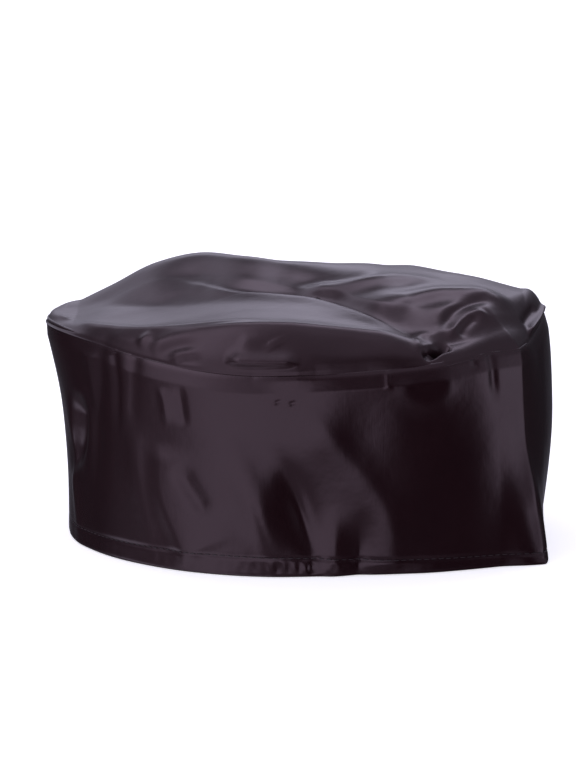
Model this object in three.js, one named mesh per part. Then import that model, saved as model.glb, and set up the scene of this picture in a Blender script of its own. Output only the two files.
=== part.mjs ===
// A soft satin cap: a deep band, hemmed at the rim and pressed into two creases,
// and an oval crown sewn to its top edge that stands up in a few slack folds.
// Millimetres, +Z up, the wearer's brow towards -Y. The rim rests on the plane z = 0,
// and the origin is the middle of that footprint's bounding box.
import * as THREE from "three";

// Cloth
const wall = 1.5; // satin with its interfacing
const hemWall = 2.7; // the same cloth turned up once inside the rim
const hemTall = 8; // how far the turned-up hem reaches
const seamGap = 0.3; // between the band's top edge and the crown's

// How finely the surfaces are cut
const turns = 84; // steps round the cap
const bandRows = 13; // steps from the top of the hem to the seam
const crownRows = 18; // steps from the seam to the middle of the crown
const crownBunch = 1.15; // above 1, the crown's steps are finer near the seam
const hemSteps = [0, 0.6, 1]; // rows up the hem, as shares of its height

// The cap's outline, a row for each direction round it (degrees from +X, seen from above).
// rim, waist and seam: how far out the outer face is at the floor, half way up and at the seam.
// tall: height of the seam. inward: how far in from the seam the crown's shoulder stands.
const STATIONS = [
  { at: 0, rim: 91, waist: 98, seam: 96, tall: 88.5, inward: 8 },
  { at: 28, rim: 91, waist: 94, seam: 94, tall: 85.5, inward: 12 },
  { at: 60, rim: 86, waist: 88, seam: 89, tall: 84, inward: 16 },
  { at: 90, rim: 83, waist: 86, seam: 87, tall: 84, inward: 18 },
  { at: 120, rim: 87, waist: 89, seam: 90, tall: 84, inward: 18 },
  { at: 148, rim: 98, waist: 98, seam: 98, tall: 84, inward: 18 },
  { at: 180, rim: 93, waist: 94, seam: 101.3, tall: 85.2, inward: 8 },
  { at: 194, rim: 92, waist: 93, seam: 98.5, tall: 85.5, inward: 8 },
  { at: 208, rim: 90, waist: 91.5, seam: 93, tall: 83.6, inward: 8 },
  { at: 232, rim: 87, waist: 88, seam: 88, tall: 78.6, inward: 9 },
  { at: 255, rim: 85, waist: 87, seam: 87, tall: 76, inward: 10 },
  { at: 282, rim: 83, waist: 85, seam: 88, tall: 77.2, inward: 11 },
  { at: 303, rim: 91, waist: 92, seam: 93.8, tall: 79.5, inward: 12 },
  { at: 318, rim: 100, waist: 98.9, seam: 96.3, tall: 81.5, inward: 20 },
  { at: 326, rim: 109.5, waist: 102, seam: 99.2, tall: 81.5, inward: 20 },
  { at: 340, rim: 98, waist: 100, seam: 96, tall: 84, inward: 12 },
];

// The crown's slack top, a row for each section from left to right (at: millimetres along X).
// A section is a line over five places from brow to nape, each given as [Y, height]: the
// shoulder's edge, the foot and the head of the step behind it, the crest and the far shoulder.
const SECTIONS = [
  { at: -88, brow: [-22, 86], foot: [-8, 87], head: [2, 88], crest: [12, 89], nape: [30, 88] },
  { at: -75, brow: [-44, 88], foot: [-12, 90], head: [0, 92], crest: [14, 95], nape: [50, 91] },
  { at: -58, brow: [-57, 89], foot: [-22, 91], head: [-2, 99.5], crest: [14, 104.2], nape: [62, 94] },
  { at: -40, brow: [-65, 91], foot: [-30, 93.5], head: [-4, 100.8], crest: [14, 108], nape: [68, 95] },
  { at: -22, brow: [-71, 94], foot: [-27, 96.5], head: [-14, 102], crest: [4, 108], nape: [71, 95] },
  { at: -4, brow: [-75, 94.5], foot: [-25, 96], head: [-16, 99.5], crest: [4, 106], nape: [72, 95] },
  { at: 12, brow: [-75, 93], foot: [-38, 94], head: [-26, 98.5], crest: [8, 104.5], nape: [71, 94.5] },
  { at: 28, brow: [-73, 90.5], foot: [-58, 91.5], head: [-47, 98], crest: [8, 104.5], nape: [69, 94] },
  { at: 41, brow: [-71, 87], foot: [-66, 87.5], head: [-50, 95.7], crest: [6, 103.2], nape: [64, 93.5] },
  { at: 54, brow: [-68, 86], foot: [-62, 90], head: [-50, 97], crest: [0, 102], nape: [57, 92.5] },
  { at: 70, brow: [-58, 92], foot: [-50, 95], head: [-40, 97.5], crest: [-8, 100.6], nape: [44, 92] },
  { at: 86, brow: [-40, 92], foot: [-32, 94], head: [-24, 95.5], crest: [-8, 97], nape: [20, 92] },
];
const PLACES = ["brow", "foot", "head", "crest", "nape"];

// Where the cap was pressed flat. out: how far the fold stands proud at the rim and at the
// seam. soft: half width of the fold.
const CREASES = [
  { at: 326, rimOut: 0.8, seamOut: 0.6, soft: 3 },
  { at: 148, rimOut: 4, seamOut: 3, soft: 10 },
];

// Flutes and hollows of the band. at: direction at mid height, lean: degrees it turns from
// the rim to the seam, wide: half width, low and high: where it fades out, as shares of the
// band's height, deep: how far it stands out (in, if negative).
const FLUTES = [
  { at: 197, lean: -5, wide: 6, low: -0.1, high: 0.75, deep: 1.8 },
  { at: 211, lean: 6, wide: 7, low: 0.1, high: 1.2, deep: -1.6 },
  { at: 226, lean: -8, wide: 8, low: 0, high: 0.9, deep: 1.2 },
  { at: 257.5, lean: -12, wide: 9, low: -0.1, high: 0.73, deep: 2.8 },
  { at: 267, lean: -17, wide: 7, low: -0.1, high: 0.7, deep: -3 },
  { at: 278, lean: 0, wide: 6, low: -0.15, high: 0.37, deep: 1.7 },
  { at: 286, lean: 2, wide: 5, low: -0.15, high: 0.37, deep: -1.9 },
  { at: 327, lean: 0, wide: 8, low: -0.3, high: 0.62, deep: 2.4 },
  { at: 40, lean: 9, wide: 10, low: 0, high: 1, deep: -1.5 },
  { at: 104, lean: -8, wide: 10, low: 0, high: 1, deep: 1.5 },
];

const radians = THREE.MathUtils.degToRad;
// Cubic from a to b as t goes from 0 to 1, leaving and arriving at the given slopes.
function hermite(t, a, b, slopeA, slopeB) {
  const t2 = t * t;
  const t3 = t2 * t;
  return (
    a * (2 * t3 - 3 * t2 + 1) + slopeA * (t3 - 2 * t2 + t) +
    b * (3 * t2 - 2 * t3) + slopeB * (t3 - t2)
  );
}
// Height of a cloth ridge at t half widths from its crest: round on top, long thin flanks.
const ridge = (t) => Math.exp(1 - Math.sqrt(1 + 4 * t * t));
// Signed turn in degrees from one direction to another, -180 to 180.
const turnBetween = (from, to) => ((((to - from) % 360) + 540) % 360) - 180;

// One column of STATIONS at any direction, as a smooth closed curve through the rows.
function around(column, degrees) {
  const n = STATIONS.length;
  const here = ((degrees % 360) + 360) % 360;
  let i = n - 1;
  while (i > 0 && STATIONS[i].at > here) i -= 1;
  const row = (k) => STATIONS[(k + n) % n];
  const place = (k) => row(k).at + 360 * Math.floor(k / n);
  const slope = (k) =>
    (row(k + 1)[column] - row(k - 1)[column]) / (place(k + 1) - place(k - 1));
  const span = place(i + 1) - place(i);
  const t = (here - place(i)) / span;
  return hermite(t, row(i)[column], row(i + 1)[column], slope(i) * span, slope(i + 1) * span);
}

// Distance from the axis to the band's outer face; v runs from 0 at the rim to 1 at the seam.
function bandRadius(degrees, v) {
  const rim = around("rim", degrees);
  const waist = around("waist", degrees);
  const seam = around("seam", degrees);
  let r = rim * (2 * v - 1) * (v - 1) + waist * 4 * v * (1 - v) + seam * v * (2 * v - 1);
  for (const c of CREASES) {
    const away = radians(turnBetween(c.at, degrees)) * r;
    r += THREE.MathUtils.lerp(c.rimOut, c.seamOut, v) * ridge(away / c.soft);
  }
  for (const f of FLUTES) {
    const away = radians(turnBetween(f.at + f.lean * (v - 0.5), degrees)) * r;
    const share = (v - f.low) / (f.high - f.low);
    if (share > 0 && share < 1) {
      r += f.deep * ridge(away / f.wide) * Math.sin(Math.PI * share) ** 2;
    }
  }
  return r;
}

function bandPoint(degrees, v) {
  const r = bandRadius(degrees, v);
  const a = radians(degrees);
  return new THREE.Vector3(r * Math.cos(a), r * Math.sin(a), v * around("tall", degrees));
}

// One place of the crown's sections at x, on smooth curves through the rows.
function placeAt(name, x) {
  const last = SECTIONS.length - 1;
  const here = THREE.MathUtils.clamp(x, SECTIONS[0].at, SECTIONS[last].at);
  let i = 0;
  while (i < last - 1 && SECTIONS[i + 1].at < here) i += 1;
  const row = (k) => SECTIONS[THREE.MathUtils.clamp(k, 0, last)];
  const span = row(i + 1).at - row(i).at;
  const t = (here - row(i).at) / span;
  const along = (c) => {
    const slope = (k) => (row(k + 1)[name][c] - row(k - 1)[name][c]) / (row(k + 1).at - row(k - 1).at);
    return hermite(t, row(i)[name][c], row(i + 1)[name][c], slope(i) * span, slope(i + 1) * span);
  };
  return { y: along(0), up: along(1) };
}

// Height of the crown's slack top above x, y: a curve over the section's places that never
// swings past them.
function topHeight(x, y) {
  const places = PLACES.map((name) => placeAt(name, x));
  const last = places.length - 1;
  const grade = (k) => (places[k + 1].up - places[k].up) / (places[k + 1].y - places[k].y);
  const slope = (k) => {
    if (k === 0 || k === last || grade(k - 1) * grade(k) <= 0) return 0;
    return (2 * grade(k - 1) * grade(k)) / (grade(k - 1) + grade(k));
  };
  const here = THREE.MathUtils.clamp(y, places[0].y, places[last].y);
  let k = 0;
  while (k < last - 1 && places[k + 1].y < here) k += 1;
  const span = places[k + 1].y - places[k].y;
  const t = (here - places[k].y) / span;
  return hermite(t, places[k].up, places[k + 1].up, slope(k) * span, slope(k + 1) * span);
}

// Outer face of the crown; s runs from 0 at the seam to 1 in the middle.
function crownPoint(degrees, s) {
  const edge = bandPoint(degrees, 1);
  const x = edge.x * (1 - s);
  const y = edge.y * (1 - s);
  const inFromSeam = Math.hypot(edge.x, edge.y) * s;
  const shoulder = Math.min(1, inFromSeam / around("inward", degrees));
  const z = THREE.MathUtils.lerp(edge.z, topHeight(x, y), Math.sin((Math.PI / 2) * shoulder));
  return new THREE.Vector3(x, y, z);
}

// A closed wall from its outer face: `point(i, j)` gives the face, i round and j upwards, and
// `thick(j)` the wall. The last row closes on one point where `closed` is true. The first row
// (and the last, where open) is offset level, so that those edges are flat.
function wallGeometry(rows, point, thick, closed) {
  const outer = [];
  for (let j = 0; j <= rows; j += 1) {
    for (let i = 0; i < turns; i += 1) outer.push(point(i, j));
  }
  const at = (i, j) => outer[j * turns + ((i + turns) % turns)];
  const inner = outer.map((p, k) => {
    const i = k % turns;
    const j = Math.floor(k / turns);
    const across = at(i + 1, j).clone().sub(at(i - 1, j));
    const level = j === 0 || (j === rows && !closed);
    const upward = level
      ? new THREE.Vector3(0, 0, 1)
      : at(i, Math.min(j + 1, rows)).clone().sub(at(i, j - 1));
    if (level) across.z = 0;
    if (closed && j === rows) return p.clone().add(new THREE.Vector3(0, 0, -thick(j)));
    return p.clone().addScaledVector(across.cross(upward).normalize(), -thick(j));
  });
  const points = [];
  const faces = [];
  const grid = (start) => (i, j) =>
    closed && j === rows ? start + rows * turns : start + j * turns + ((i + turns) % turns);
  const count = closed ? rows * turns + 1 : (rows + 1) * turns;
  for (const list of [outer, inner]) {
    for (let k = 0; k < count; k += 1) points.push(list[k].x, list[k].y, list[k].z);
  }
  const o = grid(0);
  const n = grid(count);
  const quad = (a, b, c, d) => {
    if (a !== b && b !== c && a !== c) faces.push(a, b, c);
    if (a !== c && c !== d && a !== d) faces.push(a, c, d);
  };
  for (let j = 0; j < rows; j += 1) {
    for (let i = 0; i < turns; i += 1) {
      quad(o(i, j), o(i + 1, j), o(i + 1, j + 1), o(i, j + 1));
      quad(n(i, j), n(i, j + 1), n(i + 1, j + 1), n(i + 1, j));
    }
  }
  for (let i = 0; i < turns; i += 1) {
    quad(n(i, 0), n(i + 1, 0), o(i + 1, 0), o(i, 0));
    if (!closed) quad(o(i, rows), o(i + 1, rows), n(i + 1, rows), n(i, rows));
  }
  const geometry = new THREE.BufferGeometry();
  geometry.setAttribute("position", new THREE.Float32BufferAttribute(points, 3));
  geometry.setIndex(faces);
  geometry.computeVertexNormals();
  return geometry;
}

const degreesOf = (i) => (360 * i) / turns;

function bandGeometry() {
  // the rows of the hem, then even steps to the seam
  const rows = hemSteps.length + bandRows - 1;
  const shareOf = (degrees, j) => {
    const hemShare = hemTall / around("tall", degrees);
    if (j < hemSteps.length) return hemSteps[j] * hemShare;
    return hemShare + ((1 - hemShare) * (j - hemSteps.length + 1)) / bandRows;
  };
  const thick = (j) => (j < hemSteps.length ? hemWall : wall);
  const point = (i, j) => bandPoint(degreesOf(i), shareOf(degreesOf(i), j));
  return wallGeometry(rows, point, thick, false);
}

function crownGeometry() {
  const point = (i, j) => {
    const p = crownPoint(degreesOf(i), (j / crownRows) ** crownBunch);
    p.z += seamGap;
    return p;
  };
  return wallGeometry(crownRows, point, () => wall, true);
}

const satin = new THREE.MeshStandardMaterial({
  color: 0x1b1216,
  roughness: 0.38,
  metalness: 0,
});

const cap = new THREE.Group();
const band = new THREE.Mesh(bandGeometry(), satin);
band.name = "band";
const crown = new THREE.Mesh(crownGeometry(), satin.clone());
crown.name = "crown";
cap.add(band, crown);

// Centre the footprint on the origin.
const box = new THREE.Box3().setFromObject(cap);
cap.position.set(-(box.min.x + box.max.x) / 2, -(box.min.y + box.max.y) / 2, 0);

export default cap;
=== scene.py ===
import math

import bpy
import numpy as np
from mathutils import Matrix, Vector


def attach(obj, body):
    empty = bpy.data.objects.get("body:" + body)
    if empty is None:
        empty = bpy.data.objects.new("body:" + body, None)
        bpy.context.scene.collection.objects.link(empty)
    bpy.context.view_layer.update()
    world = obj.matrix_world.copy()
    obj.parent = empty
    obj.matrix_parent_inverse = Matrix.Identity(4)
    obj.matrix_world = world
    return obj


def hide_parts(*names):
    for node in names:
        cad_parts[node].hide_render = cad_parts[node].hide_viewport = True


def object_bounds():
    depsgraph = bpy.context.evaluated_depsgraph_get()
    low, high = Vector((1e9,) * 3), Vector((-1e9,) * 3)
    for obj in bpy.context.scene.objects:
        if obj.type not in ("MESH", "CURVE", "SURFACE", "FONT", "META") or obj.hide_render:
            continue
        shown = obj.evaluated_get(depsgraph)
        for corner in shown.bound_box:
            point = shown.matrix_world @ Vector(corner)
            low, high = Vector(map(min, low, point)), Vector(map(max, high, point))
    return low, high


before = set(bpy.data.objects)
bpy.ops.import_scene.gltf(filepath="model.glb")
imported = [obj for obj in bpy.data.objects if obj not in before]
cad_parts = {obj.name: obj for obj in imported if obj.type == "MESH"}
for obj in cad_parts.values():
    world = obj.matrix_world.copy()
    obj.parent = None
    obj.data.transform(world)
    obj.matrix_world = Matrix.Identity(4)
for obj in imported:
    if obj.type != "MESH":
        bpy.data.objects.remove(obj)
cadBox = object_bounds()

mm = 0.001  # everything below is in millimetres until a mesh is made
tiny = 1e-6  # keeps a division or a sign from meeting zero

# The cap's outline, a row for each direction round it (degrees from +X, seen from above):
# how far out the cloth is at the rim, half way up and at the seam, how high the seam is, and
# how far in from the seam the crown's shoulder stands.
stationNames = ("at", "rim", "waist", "seam", "tall", "inward")
stations = np.array([
    (0, 91, 98, 96, 88.5, 8),
    (28, 91, 94, 94, 85.5, 12),
    (60, 86, 88, 89, 84, 16),
    (90, 83, 86, 87, 84, 18),
    (120, 87, 89, 90, 84, 18),
    (148, 98, 98, 98, 84, 18),
    (180, 93, 94, 101.3, 85.2, 8),
    (194, 92, 93, 98.5, 85.5, 8),
    (208, 90, 91.5, 93, 83.6, 8),
    (232, 87, 88, 88, 78.6, 9),
    (255, 85, 87, 87, 76, 10),
    (282, 83, 85, 88, 77.2, 11),
    (303, 91, 92, 93.8, 79.5, 12),
    (318, 100, 98.9, 96.3, 81.5, 20),
    (326, 109.5, 102, 99.2, 81.5, 20),
    (340, 98, 100, 96, 84, 12),
])

# The crown's slack top, a row for each section from left to right: where it is along X, then
# [Y, height] of the shoulder's edge, the foot and the head of the step behind it, the crest and
# the far shoulder.
sectionPlaces = 5
sections = np.array([
    (-88, -22, 86, -8, 87, 2, 88, 12, 89, 30, 88),
    (-75, -44, 88, -12, 90, 0, 92, 14, 95, 50, 91),
    (-58, -57, 89, -22, 91, -2, 99.5, 14, 104.2, 62, 94),
    (-40, -65, 91, -30, 93.5, -4, 100.8, 14, 108, 68, 95),
    (-22, -71, 94, -27, 96.5, -14, 102, 4, 108, 71, 95),
    (-4, -75, 94.5, -25, 96, -16, 99.5, 4, 106, 72, 95),
    (12, -75, 93, -38, 94, -26, 98.5, 8, 104.5, 71, 94.5),
    (28, -73, 90.5, -58, 91.5, -47, 98, 8, 104.5, 69, 94),
    (41, -71, 87, -66, 87.5, -50, 95.7, 6, 103.2, 64, 93.5),
    (54, -68, 86, -62, 90, -50, 97, 0, 102, 57, 92.5),
    (70, -58, 92, -50, 95, -40, 97.5, -8, 100.6, 44, 92),
    (86, -40, 92, -32, 94, -24, 95.5, -8, 97, 20, 92),
])

# Pressed creases: direction, how far the fold stands proud at the rim and at the seam, half width.
creases = ((326, 0.8, 0.6, 3), (148, 4, 3, 10))

# Long flutes of the band: direction at mid height, degrees it leans from rim to seam, half
# width, where it fades out below and above (shares of the height), how far it stands out.
flutes = (
    (197, -5, 6, -0.1, 0.75, 1.8),
    (211, 6, 7, 0.1, 1.2, -1.6),
    (226, -8, 8, 0, 0.9, 1.2),
    (257.5, -12, 9, -0.1, 0.73, 2.8),
    (267, -17, 7, -0.1, 0.7, -3),
    (278, 0, 6, -0.15, 0.37, 1.7),
    (286, 2, 5, -0.15, 0.37, -1.9),
    (327, 0, 8, -0.3, 0.62, 2.4),
    (40, 9, 10, 0, 1, -1.5),
    (104, -8, 10, 0, 1, 1.5),
)

cloth = {
    "wall": 1.5,  # satin with its interfacing
    "hemWall": 2.7,  # the same, turned up once
    "hemTall": 8.0,
    "seamGap": 0.3,  # between the two edges that are sewn together
    "seamRoll": 0.5,  # how deep both edges roll into the seam
    "rollWide": 1.0,  # over this far from it
    "allowance": 6.5,  # seam allowance that hangs inside the band
}


def hermite(t, a, b, slopeA, slopeB):
    t2, t3 = t * t, t * t * t
    return (a * (2 * t3 - 3 * t2 + 1) + slopeA * (t3 - 2 * t2 + t)
            + b * (3 * t2 - 2 * t3) + slopeB * (t3 - t2))


def smooth(t):
    t = np.clip(t, 0, 1)
    return t * t * (3 - 2 * t)


def ridge(t):  # round on top with long thin flanks
    return np.exp(1 - np.sqrt(1 + 4 * t * t))


def turnBetween(start, end):
    return np.mod(end - start + 540, 360) - 180


def around(name, degrees):  # one column of stations as a smooth closed curve
    at = stations[:, 0]
    value = stations[:, stationNames.index(name)]
    count = len(at)
    here = np.mod(degrees, 360)
    i = np.searchsorted(at, here, side="right") - 1

    def place(k):
        return at[k % count] + 360 * (k // count)

    def slope(k):
        return (value[(k + 1) % count] - value[(k - 1) % count]) / (place(k + 1) - place(k - 1))

    span = place(i + 1) - place(i)
    t = (here - place(i)) / span
    start, end = value[i % count], value[(i + 1) % count]
    return hermite(t, start, end, slope(i) * span, slope(i + 1) * span)


def bandBase(degrees, v):  # outer face of the band; v is 0 at the rim and 1 at the seam
    rim, waist, seam = around("rim", degrees), around("waist", degrees), around("seam", degrees)
    r = rim * (2 * v - 1) * (v - 1) + waist * 4 * v * (1 - v) + seam * v * (2 * v - 1)
    for at, rimOut, seamOut, soft in creases:
        away = np.radians(turnBetween(at, degrees)) * r
        r = r + (rimOut + (seamOut - rimOut) * v) * ridge(away / soft)
    for at, lean, wide, low, high, deep in flutes:
        away = np.radians(turnBetween(at + lean * (v - 0.5), degrees)) * r
        share = np.clip((v - low) / (high - low), 0, 1)
        r = r + deep * ridge(away / wide) * np.sin(np.pi * share) ** 2
    a = np.radians(degrees)
    return np.stack([r * np.cos(a), r * np.sin(a), v * around("tall", degrees)], axis=-1)


def sectionPlace(k, x):  # Y and height of one place of the crown's sections at x
    at = sections[:, 0]
    here = np.clip(x, at[0], at[-1])
    i = np.clip(np.searchsorted(at, here, side="right") - 1, 0, len(at) - 2)
    span = at[i + 1] - at[i]
    t = (here - at[i]) / span
    both = []
    for c in (1 + 2 * k, 2 + 2 * k):
        value = sections[:, c]
        before, after = np.maximum(i - 1, 0), np.minimum(i + 2, len(at) - 1)
        slopeA = (value[i + 1] - value[before]) / (at[i + 1] - at[before])
        slopeB = (value[after] - value[i]) / (at[after] - at[i])
        both.append(hermite(t, value[i], value[i + 1], slopeA * span, slopeB * span))
    return both


def topHeight(x, y):  # a curve over the five places that never swings past them
    places = [sectionPlace(k, x) for k in range(sectionPlaces)]
    ys = np.stack([p[0] for p in places])
    ups = np.stack([p[1] for p in places])
    grade = np.diff(ups, axis=0) / np.diff(ys, axis=0)
    slope = np.zeros_like(ups)
    both = grade[:-1] * grade[1:]
    total = grade[:-1] + grade[1:]
    slope[1:-1] = np.where(both > 0, 2 * both / np.where(both > 0, total, 1), 0)
    here = np.clip(y, ys[0], ys[-1])
    result = np.zeros_like(here)
    for k in range(sectionPlaces - 1):
        inside = here >= ys[k]
        span = ys[k + 1] - ys[k]
        t = np.clip((here - ys[k]) / span, 0, 1)
        value = hermite(t, ups[k], ups[k + 1], slope[k] * span, slope[k + 1] * span)
        result = np.where(inside, value, result)
    return result


def crownBase(degrees, s):  # outer face of the crown; s is 0 at the seam and 1 in the middle
    edge = bandBase(degrees, np.ones_like(degrees))
    x, y = edge[..., 0] * (1 - s), edge[..., 1] * (1 - s)
    inFromSeam = np.hypot(edge[..., 0], edge[..., 1]) * s
    shoulder = np.minimum(1, inFromSeam / around("inward", degrees))
    share = np.sin(np.pi / 2 * shoulder)
    z = edge[..., 2] + (topHeight(x, y) - edge[..., 2]) * share + cloth["seamGap"]
    return np.stack([x, y, z], axis=-1)


def throughPoints(points, steps=28):  # a smooth open curve through a few points
    points = np.asarray(points, dtype=float)
    padded = np.vstack([2 * points[0] - points[1], points, 2 * points[-1] - points[-2]])
    out = []
    for i in range(1, len(padded) - 2):
        t = np.linspace(0, 1, steps, endpoint=False)[:, None]
        slopeA = (padded[i + 1] - padded[i - 1]) / 2
        slopeB = (padded[i + 2] - padded[i]) / 2
        out.append(hermite(t, padded[i], padded[i + 1], slopeA, slopeB))
    out.append(points[-1:])
    return np.vstack(out)


def foldField(points, normals, line, left, right, deep, fadeIn, fadeOut, sharp):
    # What one small fold adds along the normal: `line` is its crest in space, `left` and
    # `right` its half widths on either side, seen from outside.
    reach = 4 * max(left, right)  # past this it adds too little to see
    low, high = line.min(axis=0) - reach, line.max(axis=0) + reach
    near = np.all((points > low) & (points < high), axis=-1)
    field = np.zeros(points.shape[:-1])
    if not near.any():
        return field
    p, n = points[near], normals[near]
    best = np.full(len(p), np.inf)
    share = np.zeros(len(p))
    side = np.zeros(len(p))
    lengths = np.concatenate([[0], np.cumsum(np.linalg.norm(np.diff(line, axis=0), axis=1))])
    for i in range(len(line) - 1):
        step = line[i + 1] - line[i]
        off = p - line[i]
        t = np.clip(off @ step / (step @ step), 0, 1)
        away = off - t[:, None] * step
        distance = np.linalg.norm(away, axis=1)
        closer = distance < best
        best = np.where(closer, distance, best)
        along = lengths[i] + t * (lengths[i + 1] - lengths[i])
        share = np.where(closer, along / lengths[-1], share)
        side = np.where(closer, np.sum(np.cross(n, step) * away, axis=1), side)
    wide = np.where(side > 0, left, right)
    across = ridge(best / wide) if sharp else np.exp(-((best / wide) ** 2))
    fade = smooth(share / max(fadeIn, tiny)) * smooth((1 - share) / max(fadeOut, tiny))
    field[near] = deep * across * fade
    return field


def gridNormals(grid):  # unit normals of a grid whose columns close into a ring
    alongRow = np.roll(grid, -1, axis=1) - np.roll(grid, 1, axis=1)
    upColumn = np.gradient(grid, axis=0)
    n = np.cross(alongRow, upColumn)
    return n / np.maximum(np.linalg.norm(n, axis=-1, keepdims=True), tiny * tiny)


def slowWaves(points, seed, sizes, heights):  # soft unevenness of cloth, the same every run
    rng = np.random.default_rng(seed)
    total = np.zeros(points.shape[:-1])
    wavesPerSize = 5
    for size, height in zip(sizes, heights):
        for _ in range(wavesPerSize):
            direction = rng.normal(size=3)
            direction /= np.linalg.norm(direction)
            phase = rng.uniform(0, 2 * math.pi)
            wave = np.sin(points @ direction * (2 * math.pi / size) + phase)
            total += height * wave / math.sqrt(wavesPerSize)
    return total


def closedMesh(name, rows, capStart=False, capEnd=False):
    # Skins a list of closed rings (rows x columns x 3, mm) as quads. An end that is capped
    # closes on one point; two open ends are joined to each other.
    ringCount, columns = rows.shape[0], rows.shape[1]
    verts = (rows.reshape(-1, 3) * mm).tolist()
    faces = []

    def at(j, i):
        return (j % ringCount) * columns + (i % columns)

    last = ringCount - 1 if capStart or capEnd else ringCount
    for j in range(last):
        for i in range(columns):
            faces.append((at(j, i), at(j, i + 1), at(j + 1, i + 1), at(j + 1, i)))
    for wanted, j, flip in ((capStart, 0, True), (capEnd, ringCount - 1, False)):
        if not wanted:
            continue
        verts.append((rows[j].mean(axis=0) * mm).tolist())
        pole = len(verts) - 1
        for i in range(columns):
            pair = (at(j, i + 1), at(j, i)) if flip else (at(j, i), at(j, i + 1))
            faces.append((pole, *pair))
    mesh = bpy.data.meshes.new(name)
    mesh.from_pydata(verts, [], faces)
    mesh.validate()
    piece = bpy.data.objects.new(name, mesh)
    bpy.context.scene.collection.objects.link(piece)
    mesh.polygons.foreach_set("use_smooth", [True] * len(mesh.polygons))
    return piece


# Small folds and dents. Each row: its crest as points, half widths to the left and to the right
# of the way it runs (seen from outside), how far it stands out (in, if negative), over what
# share of its length it fades at its start and its end, and whether its crest is sharp.
bandFolds = (
    # (degrees, height) along the crest
    (((269, 70), (277, 52), (286, 36), (291.5, 22), (293.5, 1)),  # edge of the light front
     9, 14, 1.2, 0.3, 0.05, True),
    (((234, 50), (234, 30), (238, 15), (242, 3)), 12, 5, 1.2, 0.2, 0.1, False),  # lobe, lower left
    (((238, 42), (242, 32), (247, 22)), 4, 3, -0.8, 0.3, 0.3, False),  # valley beside the lobe
    (((204, 63), (203.5, 53), (202.6, 44), (199.5, 35.5), (193.5, 26)),  # hollow by the left end
     4, 7, -3.6, 0.27, 0.4, False),
    # streaks that hang from the seam at the left
    (((218, 80), (219.5, 72), (220, 60), (220, 46)), 2.4, 2.6, -0.7, 0.02, 0.6, False),
    (((225, 80), (225.5, 70), (225, 58), (224, 44)), 3.6, 3, -0.65, 0.02, 0.5, False),
    (((208, 79), (211, 62), (213, 44)), 5, 3, 0.7, 0.1, 0.5, False),
    (((233, 70), (234.5, 64), (235.5, 54)), 2.5, 1.6, 0.6, 0.3, 0.4, False),
    (((238.5, 71), (239.5, 64), (240.5, 54)), 1.8, 2.6, -0.7, 0.3, 0.4, False),
    (((294, 75), (296, 68), (300, 65.5), (304, 68), (306.5, 75)),  # drape below the pocket
     2.4, 4, 0.35, 0.2, 0.2, False),
    (((290.7, 77), (290.7, 70)), 1.0, 1.0, 0.5, 0.02, 0.4, False),  # join of the allowance inside
    (((317.5, 81), (317.5, 73), (318, 62)), 1.8, 2.2, -0.6, 0.02, 0.5, False),
    (((312.5, 81), (312.5, 76)), 1.2, 1.2, -0.5, 0.1, 0.3, False),
    (((326, 0.5), (326, 14), (326, 32)),  # the crease is rounder at the rim
     4.5, 3, -1.1, 0.05, 0.5, False),
    (((264, 67), (264.3, 66)), 1.2, 1.2, -0.3, 0, 0, False),  # two small puckers
    (((267.6, 66.5), (267.9, 65.5)), 1.2, 1.2, -0.3, 0, 0, False),
    (((96, 84), (96.5, 40), (96, 1)), 1.4, 1.4, -0.6, 0.02, 0.02, True),  # the band's own join
    (((96, 84), (96.5, 40), (96, 1)), 7, 7, 0.5, 0.02, 0.02, False),
)
crownFaceFolds = (
    # (degrees, height) along the crest
    (((250, 80.9), (256, 80.2), (264, 80.1), (270, 80.9)),  # crease over the seam
     3.5, 1.2, 2.4, 0.25, 0.2, False),
    (((256, 91.5), (255.6, 87), (253.8, 82)), 6, 2.2, 0.55, 0.4, 0.5, False),  # edge of the bulge
    # folds that fan out at its left end
    (((229, 82), (232, 85.5), (237, 88), (244, 89)), 3, 2.6, 0.6, 0.25, 0.45, False),
    (((231, 80.6), (235, 83.6), (240, 85.2), (245, 85.6)), 2.2, 2.2, -0.6, 0.3, 0.45, False),
    (((235, 79.4), (239, 82), (245, 83.2)), 2.2, 2.2, 0.5, 0.3, 0.45, False),
    (((237, 79), (241, 80.2), (246, 80.6)), 1.8, 1.8, -0.5, 0.3, 0.45, False),
    (((228, 88.6), (226.4, 86), (224.6, 83.4)), 2.6, 1.8, 0.7, 0.45, 0.45, False),  # tuck, left
    (((297.5, 82), (300, 86), (303.5, 88), (308, 88.4)),  # upper lip of the pocket
     1.8, 1.3, 0.4, 0.35, 0.35, False),
    (((262.5, 88), (263.5, 86)), 4, 3, 0.3, 0, 0, False),
    (((172, 87), (179, 87), (186, 86.8), (194, 86.8)),  # lip at the left corner
     2, 2, 0.8, 0.3, 0.3, False),
    (((334, 84.6), (340, 86), (346, 87.6), (352, 89.4), (358, 90.4)),  # and at the right one
     1.5, 1.5, 2.0, 0.2, 0.2, False),
    (((335, 87.5), (342, 90), (349, 92)), 1.8, 1.8, -1.0, 0.2, 0.3, False),
)
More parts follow.
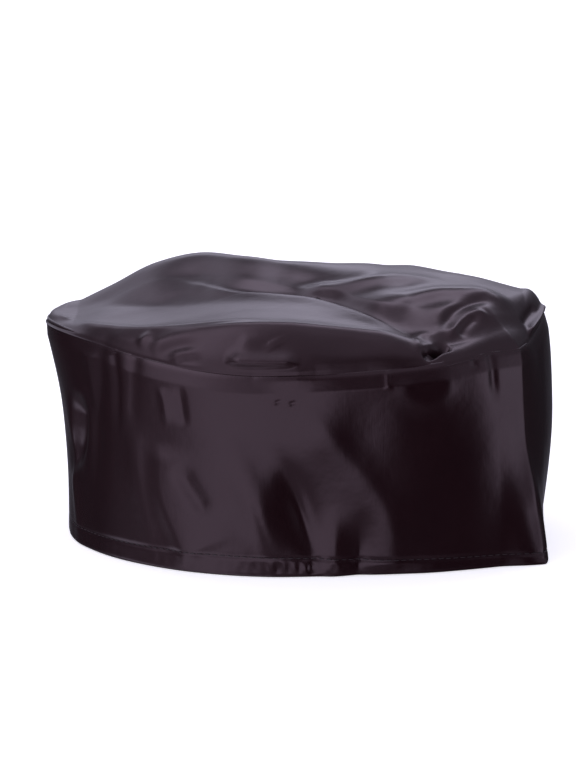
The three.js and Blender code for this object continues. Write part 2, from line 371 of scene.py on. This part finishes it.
# The deep pocket where the slack of the crown is caught in the seam
pocketFold = (((299.5, 82), (302.5, 83.2), (305.5, 84.2), (309, 84.4)),
              1.9, 1.4, -5, 0.3, 0.35, False)
crownTopFolds = (
    # (X, Y) along the crest
    (((-86, -26), (-78, -40), (-68, -50), (-54, -59), (-38, -66), (-20, -71), (-6, -74)),  # edge
     5, 2.6, 0.8, 0.12, 0.35, True),
    (((-54, -2), (-40, -12), (-28, -24), (-14, -29), (4, -34), (17, -48), (27, -61), (37, -68),
      (45, -71)), 3.2, 11, 2.1, 0.35, 0.2, True),  # the long ridge from the left to the pocket
    (((-4, -22), (8, -24), (20, -27), (31, -25), (42, -17), (56, -8)),  # two ridges behind it
     9, 6.5, 2.9, 0.2, 0.35, False),
    (((27, -52), (38, -45), (50, -40), (62, -38), (72, -35), (80, -29)),
     9, 6, 2.7, 0.25, 0.25, False),
    # the loop of slack above the pocket
    (((52, -64), (54, -59), (57.5, -53), (64, -46.5), (75, -38)),
     2.4, 2.6, -1.3, 0.25, 0.3, False),
    (((54.5, -67), (56, -63), (59, -58.5), (64, -53), (69, -49)), 1.7, 1.7, 1.4, 0.3, 0.15, True),
    (((69, -49), (67, -56), (63.5, -62), (62, -66), (60.5, -70)), 1.7, 1.7, 1.4, 0.1, 0.2, True),
    (((59.5, -64), (62, -59), (66, -53.5)), 1.7, 1.7, -2.0, 0.2, 0.2, False),
    # shallow waves of the sunk middle and the far side
    (((-8, -13), (8, -15), (22, -17), (34, -14)), 6, 5, -1.0, 0.3, 0.3, False),
    (((-62, -14), (-48, -12), (-34, -16)), 8, 6, 0.5, 0.3, 0.3, False),
    (((-60, 32), (-30, 52), (4, 58)), 9, 12, 1.4, 0.3, 0.3, False),
    (((-8, 24), (22, 40), (52, 40)), 8, 12, -1.6, 0.3, 0.3, False),
    (((30, 18), (54, 22), (78, 14)), 7, 9, 1.3, 0.3, 0.3, False),
)


def faceLine(points):  # places on the crown's steep side, found by direction and height
    line = []
    s = np.linspace(0, 0.3, 160)
    for degrees, z in points:
        column = crownBase(np.full_like(s, degrees), s)
        rising = np.maximum.accumulate(column[:, 2])
        k = int(np.clip(np.searchsorted(rising, z), 0, len(s) - 1))
        line.append(column[k])
    return throughPoints(line)


def topLine(points):
    x, y = np.array(points, dtype=float).T
    return throughPoints(np.stack([x, y, topHeight(x, y) + cloth["seamGap"]], axis=1))


def bandLine(points):
    degrees, z = np.array(points, dtype=float).T
    return throughPoints(bandBase(degrees, z / around("tall", degrees)))


def addFolds(grid, normals, folds, lineOf):
    total = np.zeros(grid.shape[:-1])
    for points, *shape in folds:
        total += foldField(grid, normals, lineOf(points), *shape)
    return total


def spreadColumns(front, back):  # directions round the cap, closer together at the brow
    return np.concatenate([
        np.linspace(90, 180, back // 2, endpoint=False),
        np.linspace(180, 360, front, endpoint=False),
        np.linspace(360, 450, back - back // 2, endpoint=False),
    ])


bandSettings = {
    "frontColumns": 460,
    "backColumns": 130,
    "outerRows": 130,
    "innerRows": 12,
    "meanRadius": 88,  # turns a direction into a length along the cloth
    "waveLengths": (46, 21),  # soft unevenness
    "waveHeights": (0.22, 0.07),
    "waveSeed": 11,
    "stitchSink": 0.35,  # how deep the hem's stitches pull the cloth in
    "stitchSinkWide": 0.7,
    "puckerPitch": 7.0,  # small waves of cloth between the hem's stitches and the rim
    "puckerDeep": 0.22,
    "puckerSeed": 5,
    "puckerFront": (270, 9),  # strongest in this direction, over so many degrees
    "puckerElsewhere": 0.1,
}
# How far the seam allowance inside pushes the band out below the seam, by direction
allowanceTilts = ((0, 0.9), (90, 1.25), (258, 1.25), (264, 0.3), (269, 0.1), (273.5, 1.1),
                  (277, 1.3), (281, 1.7), (286, 2.1), (300, 2.0), (314, 1.5), (330, 1.0),
                  (360, 0.9))
# How far above the rim the hem is stitched, by direction
stitchHeights = ((0, 5), (90, 6.5), (180, 6.6), (215, 7.4), (240, 7.8), (265, 7.6), (290, 6),
                 (325, 4.6), (360, 5))
crownSettings = {
    "frontColumns": 430,
    "backColumns": 120,
    "outerRows": 142,
    "innerRows": 14,
    "waveLengths": (38, 17),
    "waveHeights": (0.3, 0.08),
    "waveSeed": 23,
    # how far from the seam each has grown to its full depth, and how far the allowance reaches up
    "wavesFrom": 12,
    "foldsFrom": 2.5,
    "pocketFrom": 1.2,
    "allowanceFade": 4,
    "pocketDrop": 0.5,  # the pocket drops behind its lower lip by this share of its depth
}


def byDirection(rows, degrees):
    at, value = np.array(rows, dtype=float).T
    return np.interp(np.mod(degrees, 360), at, value)


shift = np.array([0.0, 0.0, 0.0])  # from the outline's axis to the middle of the footprint
turns = spreadColumns(400, 200)
outline = np.concatenate([bandBase(turns, np.full_like(turns, v))
                          for v in np.linspace(0, 1, 12)])
for axis in (0, 1):
    middle = (outline[:, axis].min() + outline[:, axis].max()) / 2
    boxMiddle = (cadBox[0][axis] + cadBox[1][axis]) / 2 / mm
    shift[axis] = boxMiddle - middle
print("outline shifted by", np.round(shift, 2), "mm onto the frame")


def makeBand():
    # One cloth: down the outer face, round the fold at the rim, up the turned-in hem and on up
    # the inner face.
    degrees = spreadColumns(bandSettings["frontColumns"], bandSettings["backColumns"])
    tall = around("tall", degrees)
    v = np.linspace(0, 1, bandSettings["outerRows"])
    grid = bandBase(np.tile(degrees, (len(v), 1)), np.tile(v[:, None], (1, len(degrees))))
    normals = gridNormals(grid)
    normals *= np.sign(np.sum(normals * grid * np.array([1, 1, 0]), axis=-1, keepdims=True))
    height = grid[..., 2]
    relief = addFolds(grid, normals, bandFolds, bandLine)
    relief += slowWaves(grid, bandSettings["waveSeed"], bandSettings["waveLengths"],
                        bandSettings["waveHeights"])
    # the stitched line sinks in, and the cloth puckers between it and the rim
    arc = np.radians(degrees) * bandSettings["meanRadius"]
    line = byDirection(stitchHeights, degrees)
    fromLine = (height - line) / bandSettings["stitchSinkWide"]
    relief -= bandSettings["stitchSink"] * np.exp(-fromLine ** 2)
    rng = np.random.default_rng(bandSettings["puckerSeed"])
    pucker = np.zeros_like(arc)
    for share in (1.0, 0.63, 1.7):
        pitch = bandSettings["puckerPitch"] * share
        pucker += np.sin(2 * math.pi * arc / pitch + rng.uniform(0, 6.28))
    front, wide = bandSettings["puckerFront"]
    least = bandSettings["puckerElsewhere"]
    strong = least + (1 - least) * np.exp(-((turnBetween(front, degrees) / wide) ** 2))
    inHem = np.sin(np.pi * np.clip(height / line, 0, 1)) ** 2
    relief += bandSettings["puckerDeep"] * strong * pucker * inHem
    # the sewn edge: rolls in at the seam, over the ridge of its allowance
    below = tall - height
    relief -= cloth["seamRoll"] * np.exp(-((below / cloth["rollWide"]) ** 2))
    relief -= byDirection(allowanceTilts, degrees) * np.clip(1 - below / cloth["allowance"], 0, 1)
    outer = grid + normals * relief[..., None]
    outer[..., 2] = np.clip(outer[..., 2], 0, None)
    facing = gridNormals(outer)
    facing *= np.sign(np.sum(facing * normals, axis=-1, keepdims=True))
    level = facing.copy()
    level[..., 2] = 0
    level /= np.linalg.norm(level, axis=-1, keepdims=True)

    def at(height, depth):  # a ring at this height and this far in from the outer face
        k = np.clip(height / tall, 0, 1) * (len(v) - 1)
        low = np.clip(np.floor(k).astype(int), 0, len(v) - 2)
        t = (k - low)[:, None]
        i = np.arange(len(degrees))
        p = outer[low, i] * (1 - t) + outer[low + 1, i] * t
        n = level[low, i] * (1 - t) + level[low + 1, i] * t
        p = p - n * depth
        p[:, 2] = height
        return p

    fold = cloth["hemWall"] / 2
    rings = [outer[j] for j in range(len(v) - 1, -1, -1) if (v[j] * tall).min() > fold]
    for a in np.linspace(0, math.pi, 9):
        rings.append(at(fold - fold * math.sin(a), fold - fold * math.cos(a)))
    for z in np.linspace(2.2, cloth["hemTall"] - 0.4, 7):
        rings.append(at(z, cloth["hemWall"]))
    for up, back in ((0.05, 0.25), (0.2, 0.8)):  # the rounded upper edge of the hem
        rings.append(at(cloth["hemTall"] + up, cloth["hemWall"] - back))
    hemTop = cloth["hemTall"] + 0.25
    rings.append(at(hemTop, cloth["wall"]))
    for share in np.linspace(0.02, 1, bandSettings["innerRows"]):
        rings.append(at(hemTop + (tall - hemTop) * share, cloth["wall"]))
    rows = np.array(rings) + shift
    piece = closedMesh("bandCloth", rows)
    lengthAlong = np.append(arc, arc[0] + 2 * math.pi * bandSettings["meanRadius"]) * mm
    giveUv(piece, rows.shape[0], len(degrees), lengthAlong, rows[..., 2] * mm)
    return piece, outer + shift, facing


def giveUv(piece, ringCount, columns, along, up):
    # u runs along the cloth and v up it, both in metres, corner by corner so that the last
    # column of faces doesn't run back to the start
    uv = piece.data.uv_layers.new(name="cloth").data
    values = np.zeros((len(piece.data.loops), 2))
    k = 0
    for j in range(ringCount):
        for i in range(columns):
            nextJ, nextI = (j + 1) % ringCount, (i + 1) % columns
            values[k] = (along[i], up[j, i])
            values[k + 1] = (along[i + 1], up[j, nextI])
            values[k + 2] = (along[i + 1], up[nextJ, nextI])
            values[k + 3] = (along[i], up[nextJ, i])
            k += 4
    uv.foreach_set("uv", values.ravel())


def makeCrown():
    degrees = spreadColumns(crownSettings["frontColumns"], crownSettings["backColumns"])
    s = np.linspace(0, 1, crownSettings["outerRows"] + 1)[:-1] ** 2
    grid = crownBase(np.tile(degrees, (len(s), 1)), np.tile(s[:, None], (1, len(degrees))))
    normals = gridNormals(grid)
    normals *= np.sign(normals[..., 2:3] + tiny)
    relief = addFolds(grid, normals, crownFaceFolds, faceLine)
    relief += addFolds(grid, normals, crownTopFolds, topLine)
    inFromSeam = np.linalg.norm(grid - grid[0], axis=-1)
    waves = slowWaves(grid, crownSettings["waveSeed"], crownSettings["waveLengths"],
                      crownSettings["waveHeights"])
    relief += waves * smooth(inFromSeam / crownSettings["wavesFrom"])
    relief *= smooth(inFromSeam / crownSettings["foldsFrom"])
    relief -= cloth["seamRoll"] * np.exp(-((inFromSeam / cloth["rollWide"]) ** 2))
    tilt = np.exp(-((inFromSeam / crownSettings["allowanceFade"]) ** 2))
    relief -= byDirection(allowanceTilts, degrees) * tilt
    outer = grid + normals * relief[..., None]
    pocket = addFolds(grid, normals, (pocketFold,), faceLine)
    pocket *= smooth(inFromSeam / crownSettings["pocketFrom"])
    outer += normals * pocket[..., None]
    outer[..., 2] += crownSettings["pocketDrop"] * pocket
    facing = gridNormals(outer)
    facing *= np.sign(np.sum(facing * normals, axis=-1, keepdims=True))
    inward = -outer[0] * np.array([1, 1, 0])
    inward /= np.linalg.norm(inward, axis=-1, keepdims=True)
    edge = outer[0]

    def hanging(depth, drop):  # a ring so far in and so far down from the sewn edge
        p = edge + inward * depth
        p[:, 2] = edge[:, 2] - drop
        return p

    # down the outer face to the seam, round the allowance that hangs inside the band, and up
    # the inner face
    rings = [outer[j] for j in range(len(s) - 1, -1, -1)]
    reach = cloth["allowance"]
    rings += [hanging(0.5, 0), hanging(1.3, 0), hanging(1.9, 0.1)]
    rings += [hanging(2.0, drop) for drop in np.linspace(0.8, reach, 6)]
    rings += [hanging(2.15, reach + 0.3), hanging(2.6, reach + 0.4), hanging(3.0, reach)]
    rings += [hanging(3.1, drop) for drop in np.linspace(reach - 0.8, -1.2, 7)]
    firstInside = 6
    picks = np.linspace(firstInside, len(s) - 1, crownSettings["innerRows"]).astype(int)
    rings += [outer[j] - facing[j] * cloth["wall"] for j in np.unique(picks)]
    rows = np.array(rings) + shift
    piece = closedMesh("crownCloth", rows, capStart=True, capEnd=True)
    # the crown's weave runs straight across the cap, whichever way it slopes
    uv = piece.data.uv_layers.new(name="cloth").data
    where = np.zeros(len(piece.data.vertices) * 3)
    piece.data.vertices.foreach_get("co", where)
    corners = np.zeros(len(piece.data.loops), dtype=int)
    piece.data.loops.foreach_get("vertex_index", corners)
    uv.foreach_set("uv", where.reshape(-1, 3)[corners][:, :2].ravel())
    return piece


def linear(hexColour):  # sRGB hex to the linear colour that a shader takes
    channels = [int(hexColour[i:i + 2], 16) / 255 for i in (1, 3, 5)]
    curved = [c / 12.92 if c <= 0.04045 else ((c + 0.055) / 1.055) ** 2.4 for c in channels]
    return (*curved, 1)


def addNode(tree, kind, settings=None, links=()):
    node = tree.nodes.new(kind)
    for name, value in (settings or {}).items():
        if hasattr(node, name):
            setattr(node, name, value)
        else:
            node.inputs[name].default_value = value
    for name, source in links:
        tree.links.new(source, node.inputs[name])
    return node


satinSettings = {
    "dark": "#0f0306",
    "light": "#150508",
    "threadPitch": 0.55,  # mm; the real one's is about 0.15, too fine to show
    "floatLength": 5.0,  # mm, how long one thread's glint is
    "bandRoughness": (0.2, 0.27),
    "crownRoughness": (0.29, 0.35),  # isn't pulled taut, so its shine spreads
    "tint": "#ffe3eb",
    "cloudScale": 45.0,  # per metre: patches of about 20 mm where the shine varies
    "crinkleScale": 160.0,  # and crinkles of about 6 mm
    "crinkleDeep": 0.0003,
    "weaveDeep": 0.00006,
}


def satin(name, roughness, uvTurned=False):
    # Polyester satin: long warp floats give a smooth, fairly sharp shine along the cloth
    material = bpy.data.materials.new(name)
    material.use_nodes = True
    tree = material.node_tree
    tree.nodes.clear()
    uv = addNode(tree, "ShaderNodeUVMap", {"uv_map": "cloth"})
    fine = 1 / (satinSettings["threadPitch"] * mm)
    long = 1 / (satinSettings["floatLength"] * mm)
    scale = (long, fine, 1) if uvTurned else (fine, long, 1)
    threads = addNode(tree, "ShaderNodeMapping", {"Scale": scale}, [("Vector", uv.outputs["UV"])])
    weave = addNode(tree, "ShaderNodeTexNoise", {"Scale": 1.0, "Detail": 2.0, "Roughness": 0.5},
                    [("Vector", threads.outputs["Vector"])])
    place = addNode(tree, "ShaderNodeTexCoord")
    cloudy = addNode(tree, "ShaderNodeTexNoise",
                     {"Scale": satinSettings["cloudScale"], "Detail": 3.0},
                     [("Vector", place.outputs["Object"])])
    colour = addNode(tree, "ShaderNodeMixRGB", {"Color1": linear(satinSettings["dark"]),
                                                "Color2": linear(satinSettings["light"])},
                     [("Fac", cloudy.outputs["Fac"])])
    rough = addNode(tree, "ShaderNodeMapRange", {"To Min": roughness[0], "To Max": roughness[1]},
                    [("Value", cloudy.outputs["Fac"])])
    crinkle = addNode(tree, "ShaderNodeTexNoise",
                      {"Scale": satinSettings["crinkleScale"], "Detail": 2.0},
                      [("Vector", place.outputs["Object"])])
    softBump = addNode(tree, "ShaderNodeBump",
                       {"Strength": 0.35, "Distance": satinSettings["crinkleDeep"]},
                       [("Height", crinkle.outputs["Fac"])])
    weaveBump = addNode(tree, "ShaderNodeBump",
                        {"Strength": 0.25, "Distance": satinSettings["weaveDeep"]},
                        [("Height", weave.outputs["Fac"]), ("Normal", softBump.outputs["Normal"])])
    shader = addNode(tree, "ShaderNodeBsdfPrincipled", {
        "IOR": 1.5,
        "Specular Tint": linear(satinSettings["tint"]),
    }, [("Base Color", colour.outputs["Color"]), ("Roughness", rough.outputs["Result"]),
        ("Normal", weaveBump.outputs["Normal"])])
    addNode(tree, "ShaderNodeOutputMaterial", links=[("Surface", shader.outputs["BSDF"])])
    return material


bandSatin = satin("bandPolyesterSatin", satinSettings["bandRoughness"])
crownSatin = satin("crownPolyesterSatin", satinSettings["crownRoughness"], uvTurned=True)

band, bandOuter, bandFacing = makeBand()
band.data.materials.append(bandSatin)
print("band:", len(band.data.polygons), "faces")
crown = makeCrown()
crown.data.materials.append(crownSatin)
print("crown:", len(crown.data.polygons), "faces")

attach(band, "root")
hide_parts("band")
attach(crown, "root")
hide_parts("crown")

stitchSettings = {
    "pitch": 2.9,
    "length": 2.3,
    "thread": 0.36,
    "sunk": 0.06,  # how much of the thread is pressed into the cloth
    "colour": "#1d1014",
    "twistScale": 4200.0,  # per metre: one turn of the yarn in about 0.25 mm
    "twistDeep": 0.00005,
}


def polyesterThread():
    # Spun polyester sewing thread, a shade duller than the satin
    material = bpy.data.materials.new("polyesterThread")
    material.use_nodes = True
    tree = material.node_tree
    tree.nodes.clear()
    place = addNode(tree, "ShaderNodeTexCoord")
    twist = addNode(tree, "ShaderNodeTexNoise",
                    {"Scale": stitchSettings["twistScale"], "Detail": 1.0},
                    [("Vector", place.outputs["Object"])])
    bump = addNode(tree, "ShaderNodeBump",
                   {"Strength": 0.4, "Distance": stitchSettings["twistDeep"]},
                   [("Height", twist.outputs["Fac"])])
    shader = addNode(tree, "ShaderNodeBsdfPrincipled", {
        "Base Color": linear(stitchSettings["colour"]),
        "Roughness": 0.5,
        "IOR": 1.5,
    }, [("Normal", bump.outputs["Normal"])])
    addNode(tree, "ShaderNodeOutputMaterial", links=[("Surface", shader.outputs["BSDF"])])
    return material


def stitchTree(material):  # one thread stitch at each step along a line
    tree = bpy.data.node_groups.new("hemStitching", "GeometryNodeTree")
    face = tree.interface
    face.new_socket("Geometry", in_out="INPUT", socket_type="NodeSocketGeometry")
    sockets = {}
    for name in ("Pitch", "Stitch length", "Thread width"):
        socket = face.new_socket(name, in_out="INPUT", socket_type="NodeSocketFloat")
        sockets[name] = socket.identifier
    face.new_socket("Geometry", in_out="OUTPUT", socket_type="NodeSocketGeometry")
    start = addNode(tree, "NodeGroupInput")
    curve = addNode(tree, "GeometryNodeMeshToCurve", links=[("Mesh", start.outputs["Geometry"])])
    points = addNode(tree, "GeometryNodeCurveToPoints", {"mode": "LENGTH"},
                     [("Curve", curve.outputs["Curve"]), ("Length", start.outputs["Pitch"])])
    ball = addNode(tree, "GeometryNodeMeshUVSphere", {"Segments": 8, "Rings": 5, "Radius": 0.5})
    size = addNode(tree, "ShaderNodeCombineXYZ", links=[("X", start.outputs["Thread width"]),
                                                        ("Y", start.outputs["Thread width"]),
                                                        ("Z", start.outputs["Stitch length"])])
    stitch = addNode(tree, "GeometryNodeInstanceOnPoints", links=[
        ("Points", points.outputs["Points"]),
        ("Instance", ball.outputs["Mesh"]),
        ("Rotation", points.outputs["Rotation"]),
        ("Scale", size.outputs["Vector"]),
    ])
    real = addNode(tree, "GeometryNodeRealizeInstances",
                   links=[("Geometry", stitch.outputs["Instances"])])
    dressed = addNode(tree, "GeometryNodeSetMaterial", {"Material": material},
                      [("Geometry", real.outputs["Geometry"])])
    addNode(tree, "NodeGroupOutput", links=[("Geometry", dressed.outputs["Geometry"])])
    return tree, sockets


def makeStitches(outer, facing):
    degrees = spreadColumns(bandSettings["frontColumns"], bandSettings["backColumns"])
    high = byDirection(stitchHeights, degrees)
    share = high / around("tall", degrees) * (outer.shape[0] - 1)
    low = share.astype(int)
    i = np.arange(len(degrees))
    t = (share - low)[:, None]
    line = outer[low, i] * (1 - t) + outer[low + 1, i] * t
    out = facing[low, i] * (stitchSettings["thread"] / 2 - stitchSettings["sunk"])
    verts = ((line + out) * mm).tolist()
    edges = [(k, (k + 1) % len(verts)) for k in range(len(verts))]
    path = bpy.data.meshes.new("hemLine")
    path.from_pydata(verts, edges, [])
    carrier = bpy.data.objects.new("hemLine", path)
    bpy.context.scene.collection.objects.link(carrier)
    thread = polyesterThread()
    tree, sockets = stitchTree(thread)
    sewing = carrier.modifiers.new("hemStitching", "NODES")
    sewing.node_group = tree
    sewing[sockets["Pitch"]] = stitchSettings["pitch"] * mm
    sewing[sockets["Stitch length"]] = stitchSettings["length"] * mm
    sewing[sockets["Thread width"]] = stitchSettings["thread"] * mm
    bpy.context.view_layer.update()
    graph = bpy.context.evaluated_depsgraph_get()
    mesh = bpy.data.meshes.new_from_object(carrier.evaluated_get(graph), depsgraph=graph)
    stitches = bpy.data.objects.new("hemStitches", mesh)
    bpy.context.scene.collection.objects.link(stitches)
    bpy.data.objects.remove(carrier)
    mesh.polygons.foreach_set("use_smooth", [True] * len(mesh.polygons))
    return stitches


stitches = makeStitches(bandOuter, bandFacing)
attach(stitches, "root")
print("stitches:", len(stitches.data.polygons), "faces")

studio = {
    "floor": "#f4f4f4",
    "floorGlow": 0.55,  # evens the floor out to the white of a studio sweep
    "floorAcross": 60.0,  # metres
    "light": "#ebe8ff",  # daylight softboxes
    "zenith": 0.8,
    "brightest": 4,  # the most that a ring may reach
}
# How bright the studio is round the cap, in rings from below to above. Each row: direction in
# degrees from the camera (positive to the right), brightness.
rings = {
    "near": (  # the table close by, partly in the cap's own shade
        (-180, 0.3), (-160, 0.1), (-116, 0.15), (-104, 1.2), (-97, 1.5), (-90, 1.0), (-80, 0.3),
        (-68, 0.7), (-55, 1.3), (-40, 1.3), (-26, 0.35), (20, 0.3), (60, 0.05), (104, 0.08),
        (160, 0.1), (180, 0.3),
    ),
    "table": (  # the sweep in front of the cap, a black flag to its right, a strip of light beyond
        (-180, 0.5), (-172, 0.4), (-164, 0.12), (-152, 0.06), (-120, 0.05), (-104, 0.1),
        (-98, 0.17), (-80, 0.28), (-70, 0.32), (-64, 0.45), (-58, 1.15), (-45, 1.42), (10, 1.38),
        (16, 0.75), (21, 0.15), (28, 0.03), (60, 0.03), (66, 0.45), (71, 1.4), (88, 1.35),
        (96, 0.5), (104, 0.07), (150, 0.03), (165, 0.15), (172, 0.4), (180, 0.5),
    ),
    "low": (
        (-180, 0.35), (-170, 0.5), (-162, 0.5), (-152, 0.2), (-140, 0.12), (-105, 0.15),
        (-88, 0.35), (-78, 0.9), (-57, 1.6), (-42, 1.1), (-20, 0.85), (-8, 0.8), (-3, 0.3),
        (3, 0.1), (40, 0.09), (54, 0.16), (66, 0.7), (90, 0.75), (108, 0.3), (124, 0.08),
        (155, 0.1), (168, 0.25), (180, 0.35),
    ),
    "mid": (
        (-180, 2.0), (-175, 1.8), (-168, 1.2), (-158, 0.9), (-148, 0.4), (-125, 0.15),
        (-105, 0.2), (-90, 0.4), (-78, 1.0), (-68, 1.8), (-50, 1.9), (-38, 1.1), (-20, 0.65),
        (-8, 0.6), (0, 0.4), (20, 0.3), (60, 0.4), (90, 0.6), (112, 0.4), (126, 0.2),
        (150, 0.2), (160, 0.8), (170, 1.8), (180, 2.0),
    ),
    "high": (
        (-180, 0.15), (-170, 0.2), (-163, 0.5), (-152, 0.9), (-142, 1.6), (-130, 1.6), (-118, 0.25),
        (-108, 0.25), (-100, 0.5), (-92, 1.4), (-76, 2.3), (-52, 2.3), (-42, 1.4), (-34, 0.7),
        (-10, 0.65), (40, 0.7), (90, 0.5), (110, 0.35), (134, 0.45), (145, 2.5), (158, 3.0),
        (166, 0.8), (173, 0.18), (180, 0.15),
    ),
    "top": (
        (-180, 3.4), (-150, 3.0), (-134, 3.0), (-126, 2.4), (-112, 0.6), (-100, 0.6), (-88, 1.2),
        (-75, 1.6), (-50, 1.6), (-35, 0.8), (10, 0.9), (25, 1.3), (45, 1.0), (90, 0.7), (130, 0.9),
        (142, 2.0), (152, 4.0), (165, 4.0), (180, 3.4),
    ),
}
# Between which heights, in degrees, each ring blends to the next and the last to the zenith
ringEdges = ((-30, -18), (-5, 8), (11, 18), (26, 34), (54, 64), (70, 84))


def makeFloor():
    half = studio["floorAcross"] / 2
    mesh = bpy.data.meshes.new("floor")
    mesh.from_pydata([(-half, -half, 0), (half, -half, 0), (half, half, 0), (-half, half, 0)], [],
                     [(0, 1, 2, 3)])
    floor = bpy.data.objects.new("floor", mesh)
    bpy.context.scene.collection.objects.link(floor)
    floor.location.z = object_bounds()[0][2]
    material = bpy.data.materials.new("paleSweep")
    material.use_nodes = True
    tree = material.node_tree
    tree.nodes.clear()
    shader = addNode(tree, "ShaderNodeBsdfDiffuse", {"Color": linear(studio["floor"])})
    glow = addNode(tree, "ShaderNodeEmission", {"Strength": studio["floorGlow"]})
    both = tree.nodes.new("ShaderNodeAddShader")
    tree.links.new(shader.outputs["BSDF"], both.inputs[0])
    tree.links.new(glow.outputs["Emission"], both.inputs[1])
    addNode(tree, "ShaderNodeOutputMaterial", links=[("Surface", both.outputs["Shader"])])
    mesh.materials.append(material)
    # the satin mirrors the lowest rings of light in place of this plain floor, and they reach it
    # through the floor
    floor.visible_glossy = False
    floor.visible_shadow = False


def maths(tree, operation, *values):
    node = tree.nodes.new("ShaderNodeMath")
    node.operation = operation
    for k, value in enumerate(values):
        if isinstance(value, (int, float)):
            node.inputs[k].default_value = value
        else:
            tree.links.new(value, node.inputs[k])
    return node.outputs[0]


def ramp(tree, value, start, end):  # 0 before start and 1 past end
    node = addNode(tree, "ShaderNodeMapRange", {"From Min": start, "From Max": end,
                                                "interpolation_type": "SMOOTHSTEP"},
                   [("Value", value)])
    return node.outputs["Result"]


def ringOfLight(tree, name, turn):
    node = tree.nodes.new("ShaderNodeValToRGB")
    stops = node.color_ramp.elements
    rows = rings[name]
    while len(stops) < len(rows):
        stops.new(0.5)
    for stop, (degrees, bright) in zip(stops, rows):
        stop.position = (degrees + 180) / 360
        grey = bright / studio["brightest"]
        stop.color = (grey, grey, grey, 1)
    tree.links.new(turn, node.inputs["Fac"])
    return maths(tree, "MULTIPLY", node.outputs["Color"], studio["brightest"])


def blend(tree, share, low, high):
    rise = maths(tree, "MULTIPLY", share, maths(tree, "SUBTRACT", high, low))
    return maths(tree, "ADD", low, rise)


def makeSurround():
    world = bpy.data.worlds.new("studio")
    bpy.context.scene.world = world
    world.use_nodes = True
    tree = world.node_tree
    tree.nodes.clear()
    place = addNode(tree, "ShaderNodeTexCoord")
    ray = addNode(tree, "ShaderNodeSeparateXYZ", links=[("Vector", place.outputs["Generated"])])
    forward = maths(tree, "MULTIPLY", ray.outputs["Y"], -1)
    turn = maths(tree, "ARCTAN2", ray.outputs["X"], forward)
    turn = maths(tree, "ADD", maths(tree, "DIVIDE", turn, 2 * math.pi), 0.5)
    lift = maths(tree, "DEGREES", maths(tree, "ARCSINE", ray.outputs["Z"]))
    names = list(rings)
    bright = ringOfLight(tree, names[0], turn)
    for edges, name in zip(ringEdges, names[1:]):
        bright = blend(tree, ramp(tree, lift, *edges), bright, ringOfLight(tree, name, turn))
    bright = blend(tree, ramp(tree, lift, *ringEdges[-1]), bright, studio["zenith"])
    sky = addNode(tree, "ShaderNodeBackground", {"Color": linear(studio["light"])},
                  [("Strength", bright)])
    paper = addNode(tree, "ShaderNodeBackground", {"Color": (1, 1, 1, 1), "Strength": 1.0})
    seen = addNode(tree, "ShaderNodeLightPath")
    which = addNode(tree, "ShaderNodeMixShader", links=[("Fac", seen.outputs["Is Camera Ray"])])
    tree.links.new(sky.outputs["Background"], which.inputs[1])
    tree.links.new(paper.outputs["Background"], which.inputs[2])
    addNode(tree, "ShaderNodeOutputWorld", links=[("Surface", which.outputs["Shader"])])


# The photograph's viewpoint: 1.1 m off, 13 degrees above the table, a long lens. The middle of
# the cropped picture is off the lens's own axis, so the camera is turned towards it.
viewpoint = {
    "place": (0.0003, -1.0718, 0.2474),
    "drop": 13,  # degrees
    "lens": 128.9,
    "sensor": 36,
    "focal": 2750,  # the lens in pixels of a picture 768 tall
    "axisAt": (298.5, 527.3),  # where the axis meets the picture, in pixels
    "middle": (288, 384),
}


def makeCamera():
    lens = bpy.data.cameras.new("camera")
    lens.sensor_width = viewpoint["sensor"]
    lens.lens = viewpoint["lens"]
    camera = bpy.data.objects.new("camera", lens)
    bpy.context.scene.collection.objects.link(camera)
    camera.location = viewpoint["place"]
    drop = math.radians(viewpoint["drop"])
    forward = Vector((0, math.cos(drop), -math.sin(drop)))
    side = Vector((1, 0, 0))
    up = Vector((0, math.sin(drop), math.cos(drop)))
    (axisX, axisY), (middleX, middleY) = viewpoint["axisAt"], viewpoint["middle"]
    aim = forward * viewpoint["focal"] + side * (middleX - axisX) + up * (axisY - middleY)
    camera.rotation_euler = aim.to_track_quat("-Z", "Y").to_euler()
    bpy.context.scene.camera = camera


makeFloor()
makeSurround()
makeCamera()
bpy.context.scene.view_settings.view_transform = "Standard"

print("scene done")
